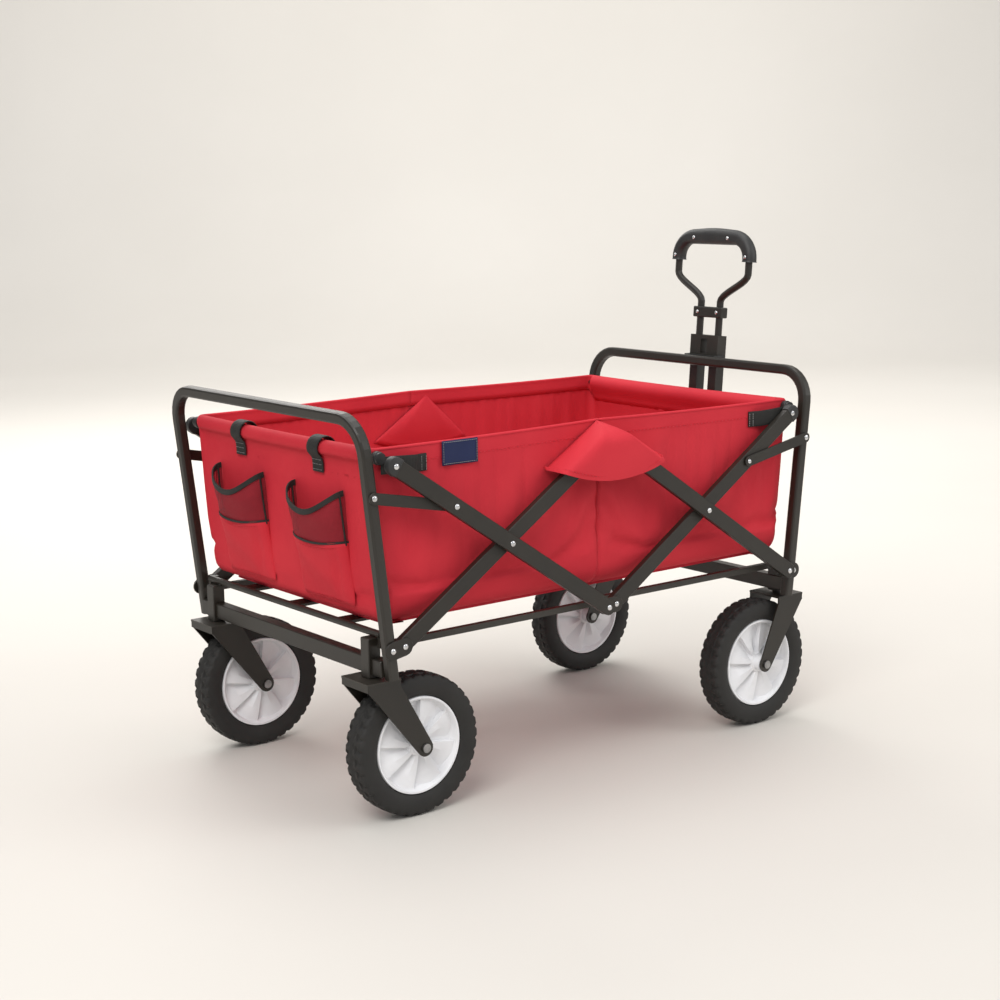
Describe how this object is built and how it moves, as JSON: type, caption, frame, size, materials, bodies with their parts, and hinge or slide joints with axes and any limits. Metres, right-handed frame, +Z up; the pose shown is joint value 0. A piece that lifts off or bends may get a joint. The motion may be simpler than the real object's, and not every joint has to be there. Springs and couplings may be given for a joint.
{
  "type": "folding camp wagon",
  "caption": "Folding camp wagon: a red fabric tub in a black scissor frame on four wheels with swivelling front casters, drink pockets and a telescoping pull handle",
  "frame": {"origin": "on the ground under the centre of the open wagon's bounding box", "axes": "+X towards the pull handle, +Y to the left side, +Z up"},
  "size_m": [0.9091, 0.551, 0.78],
  "materials": {
    "frame_paint": "satin near-black powder coat with a slight olive cast",
    "tub_fabric": "red woven polyester, matt with a slight sheen",
    "pocket_mesh": "dark red open mesh with black binding",
    "tyre_rubber": "matt black solid rubber with block tread",
    "hub_plastic": "light grey-white moulded plastic",
    "axle_steel": "zinc-plated steel",
    "grip_plastic": "fine-grained black moulded plastic"
  },
  "bodies": {
    "rear_base": {"rear_chassis": "frame_paint", "rear_u_frame": "frame_paint", "rear_fork_left": "frame_paint", "axle_rear_left": "axle_steel", "rear_bracket_left": "frame_paint", "rear_fork_right": "frame_paint", "axle_rear_right": "axle_steel", "rear_bracket_right": "frame_paint"},
    "rear_wheel_left": {"tyre_rear_left": "tyre_rubber", "wheel_hub_rear_left": "hub_plastic"},
    "rear_wheel_right": {"tyre_rear_right": "tyre_rubber", "wheel_hub_rear_right": "hub_plastic"},
    "front_base": {"front_chassis": "frame_paint", "front_u_frame": "frame_paint", "front_bracket_left": "frame_paint", "front_bracket_right": "frame_paint", "handle_pivot_bracket": "frame_paint", "handle_clip": "grip_plastic"},
    "caster_left": {"caster_fork_left": "frame_paint", "axle_front_left": "axle_steel"},
    "front_wheel_left": {"tyre_front_left": "tyre_rubber", "wheel_hub_front_left": "hub_plastic"},
    "rear_inner_left": {"rear_inner_bar_left": "frame_paint"},
    "rear_outer_left": {"rear_outer_bar_left": "frame_paint"},
    "front_inner_left": {"front_inner_bar_left": "frame_paint"},
    "front_outer_left": {"front_outer_bar_left": "frame_paint"},
    "bottom_hub_left": {"bottom_hub_left": "frame_paint"},
    "top_hub_left": {"top_hub_left": "frame_paint", "rear_side_panel_left": "tub_fabric", "front_side_panel_left": "tub_fabric"},
    "rear_link_left": {"rear_link_left": "frame_paint"},
    "front_link_left": {"front_link_left": "frame_paint"},
    "caster_right": {"caster_fork_right": "frame_paint", "axle_front_right": "axle_steel"},
    "front_wheel_right": {"tyre_front_right": "tyre_rubber", "wheel_hub_front_right": "hub_plastic"},
    "rear_inner_right": {"rear_inner_bar_right": "frame_paint"},
    "rear_outer_right": {"rear_outer_bar_right": "frame_paint"},
    "front_inner_right": {"front_inner_bar_right": "frame_paint"},
    "front_outer_right": {"front_outer_bar_right": "frame_paint"},
    "bottom_hub_right": {"bottom_hub_right": "frame_paint"},
    "top_hub_right": {"top_hub_right": "frame_paint", "rear_side_panel_right": "tub_fabric", "front_side_panel_right": "tub_fabric"},
    "rear_link_right": {"rear_link_right": "frame_paint"},
    "front_link_right": {"front_link_right": "frame_paint"},
    "rear_floor": {"rear_floor_frame": "frame_paint", "rear_floor_pad": "tub_fabric"},
    "front_floor": {"front_floor_frame": "frame_paint", "front_floor_pad": "tub_fabric"},
    "rear_tub": {"rear_hem_rod": "frame_paint", "rear_panel": "tub_fabric", "drink_pocket_left": "pocket_mesh", "drink_pocket_right": "pocket_mesh"},
    "front_tub": {"front_hem_rod": "frame_paint", "front_panel": "tub_fabric"},
    "handle_base": {"handle_outer_tube": "frame_paint"},
    "handle_slide": {"handle_loop_tube": "frame_paint", "handle_clamp": "frame_paint", "handle_grip": "grip_plastic"}
  },
  "joints": [
    {"name": "fold", "type": "hinge", "parent": "rear_base", "child": "rear_inner_right", "pos_m": [-0.3902, -0.25625, 0.257], "axis": [0, -1, 0], "range_deg": [0, 38.65], "deforming": ["rear_side_panel_left", "rear_side_panel_right", "front_side_panel_left", "front_side_panel_right", "rear_floor_pad", "front_floor_pad", "drink_pocket_left", "drink_pocket_right"]},
    {"name": "rear_cross_pivot_right", "type": "hinge", "parent": "rear_inner_right", "child": "rear_outer_right", "pos_m": [-0.21245, -0.27045, 0.376], "axis": [0, -1, 0], "range_deg": [-78.5, 0.5]},
    {"name": "bottom_hub_pivot_right", "type": "hinge", "parent": "rear_outer_right", "child": "bottom_hub_right", "pos_m": [-0.0347, -0.26345, 0.257], "axis": [0, -1, 0], "range_deg": [-0.5, 39.25]},
    {"name": "top_hub_pivot_right", "type": "hinge", "parent": "rear_inner_right", "child": "top_hub_right", "pos_m": [-0.0347, -0.26345, 0.495], "axis": [0, -1, 0], "range_deg": [-39.25, 0.5]},
    {"name": "front_outer_pivot_right", "type": "hinge", "parent": "top_hub_right", "child": "front_outer_right", "pos_m": [-0.0117, -0.27045, 0.495], "axis": [0, -1, 0], "range_deg": [-39.25, 0.5]},
    {"name": "front_cross_pivot_right", "type": "hinge", "parent": "front_outer_right", "child": "front_inner_right", "pos_m": [0.16605, -0.25625, 0.376], "axis": [0, -1, 0], "range_deg": [-0.5, 78.5]},
    {"name": "front_base_pivot", "type": "hinge", "parent": "front_outer_right", "child": "front_base", "pos_m": [0.3438, -0.27045, 0.257], "axis": [0, -1, 0], "range_deg": [-0.5, 39.25]},
    {"name": "rear_inner_pivot_left", "type": "hinge", "parent": "rear_base", "child": "rear_inner_left", "pos_m": [-0.3902, 0.25625, 0.257], "axis": [0, -1, 0], "range_deg": [-0.5, 39.25]},
    {"name": "rear_cross_pivot_left", "type": "hinge", "parent": "rear_inner_left", "child": "rear_outer_left", "pos_m": [-0.21245, 0.27045, 0.376], "axis": [0, -1, 0], "range_deg": [-78.5, 0.5]},
    {"name": "bottom_hub_pivot_left", "type": "hinge", "parent": "rear_outer_left", "child": "bottom_hub_left", "pos_m": [-0.0347, 0.26345, 0.257], "axis": [0, -1, 0], "range_deg": [-0.5, 39.25]},
    {"name": "top_hub_pivot_left", "type": "hinge", "parent": "rear_inner_left", "child": "top_hub_left", "pos_m": [-0.0347, 0.26345, 0.495], "axis": [0, -1, 0], "range_deg": [-39.25, 0.5]},
    {"name": "front_outer_pivot_left", "type": "hinge", "parent": "top_hub_left", "child": "front_outer_left", "pos_m": [-0.0117, 0.27045, 0.495], "axis": [0, -1, 0], "range_deg": [-39.25, 0.5]},
    {"name": "front_cross_pivot_left", "type": "hinge", "parent": "front_outer_left", "child": "front_inner_left", "pos_m": [0.16605, 0.25625, 0.376], "axis": [0, -1, 0], "range_deg": [-0.5, 78.5]},
    {"name": "rear_link_pivot_right", "type": "hinge", "parent": "rear_base", "child": "rear_link_right", "pos_m": [-0.4342, -0.26345, 0.4644], "axis": [0, -1, 0], "range_deg": [-0.5, 67.05]},
    {"name": "front_link_pivot_right", "type": "hinge", "parent": "front_base", "child": "front_link_right", "pos_m": [0.3878, -0.26345, 0.4644], "axis": [0, 1, 0], "range_deg": [-0.5, 67.05]},
    {"name": "rear_wheel_spin_right", "type": "hinge", "parent": "rear_base", "child": "rear_wheel_right", "pos_m": [-0.3462, -0.2125, 0.1015], "axis": [0, 1, 0], "continuous": true},
    {"name": "caster_swivel_right", "type": "hinge", "parent": "front_base", "child": "caster_right", "pos_m": [0.3788, -0.2125, 0.208], "axis": [0, 0, 1], "continuous": true},
    {"name": "front_wheel_spin_right", "type": "hinge", "parent": "caster_right", "child": "front_wheel_right", "pos_m": [0.3244, -0.2125, 0.1015], "axis": [0, 1, 0], "continuous": true},
    {"name": "rear_link_pivot_left", "type": "hinge", "parent": "rear_base", "child": "rear_link_left", "pos_m": [-0.4342, 0.26345, 0.4644], "axis": [0, -1, 0], "range_deg": [-0.5, 67.05]},
    {"name": "front_link_pivot_left", "type": "hinge", "parent": "front_base", "child": "front_link_left", "pos_m": [0.3878, 0.26345, 0.4644], "axis": [0, 1, 0], "range_deg": [-0.5, 67.05]},
    {"name": "rear_wheel_spin_left", "type": "hinge", "parent": "rear_base", "child": "rear_wheel_left", "pos_m": [-0.3462, 0.2125, 0.1015], "axis": [0, 1, 0], "continuous": true},
    {"name": "caster_swivel_left", "type": "hinge", "parent": "front_base", "child": "caster_left", "pos_m": [0.3788, 0.2125, 0.208], "axis": [0, 0, 1], "continuous": true},
    {"name": "front_wheel_spin_left", "type": "hinge", "parent": "caster_left", "child": "front_wheel_left", "pos_m": [0.3244, 0.2125, 0.1015], "axis": [0, 1, 0], "continuous": true},
    {"name": "rear_floor_hinge", "type": "hinge", "parent": "rear_base", "child": "rear_floor", "pos_m": [-0.4082, 0, 0.2705], "axis": [0, -1, 0], "range_deg": [-0.5, 66.68]},
    {"name": "front_floor_hinge", "type": "hinge", "parent": "front_base", "child": "front_floor", "pos_m": [0.3618, 0, 0.2705], "axis": [0, 1, 0], "range_deg": [-0.5, 66.68]},
    {"name": "rear_tub_pivot", "type": "hinge", "parent": "rear_outer_right", "child": "rear_tub", "pos_m": [-0.40565, -0.27045, 0.50534], "axis": [0, -1, 0], "range_deg": [-0.5, 39.25]},
    {"name": "front_tub_pivot", "type": "hinge", "parent": "front_inner_right", "child": "front_tub", "pos_m": [0.35925, -0.25625, 0.50534], "axis": [0, -1, 0], "range_deg": [-39.25, 0.5]},
    {"name": "handle_pivot", "type": "hinge", "parent": "front_base", "child": "handle_base", "pos_m": [0.4008, 0, 0.235], "axis": [0, 1, 0], "range_deg": [0, 100]},
    {"name": "handle_extend", "type": "slide", "parent": "handle_base", "child": "handle_slide", "axis": [0.0802, 0, 0.9968], "range_m": [0, 0.25]}
  ],
  "couplings": [
    {"joint": "rear_cross_pivot_right", "follows": "fold", "ratio": -2},
    {"joint": "bottom_hub_pivot_right", "follows": "fold", "ratio": 1},
    {"joint": "top_hub_pivot_right", "follows": "fold", "ratio": -1},
    {"joint": "front_outer_pivot_right", "follows": "fold", "ratio": -1},
    {"joint": "front_cross_pivot_right", "follows": "fold", "ratio": 2},
    {"joint": "front_base_pivot", "follows": "fold", "ratio": 1},
    {"joint": "rear_inner_pivot_left", "follows": "fold", "ratio": 1},
    {"joint": "rear_cross_pivot_left", "follows": "fold", "ratio": -2},
    {"joint": "bottom_hub_pivot_left", "follows": "fold", "ratio": 1},
    {"joint": "top_hub_pivot_left", "follows": "fold", "ratio": -1},
    {"joint": "front_outer_pivot_left", "follows": "fold", "ratio": -1},
    {"joint": "front_cross_pivot_left", "follows": "fold", "ratio": 2},
    {"joint": "rear_link_pivot_right", "follows": "fold", "ratio": 1.7084},
    {"joint": "front_link_pivot_right", "follows": "fold", "ratio": 1.7084},
    {"joint": "rear_link_pivot_left", "follows": "fold", "ratio": 1.7084},
    {"joint": "front_link_pivot_left", "follows": "fold", "ratio": 1.7084},
    {"joint": "rear_floor_hinge", "follows": "fold", "ratio": 1.699},
    {"joint": "front_floor_hinge", "follows": "fold", "ratio": 1.699},
    {"joint": "rear_tub_pivot", "follows": "fold", "ratio": 1},
    {"joint": "front_tub_pivot", "follows": "fold", "ratio": -1}
  ]
}
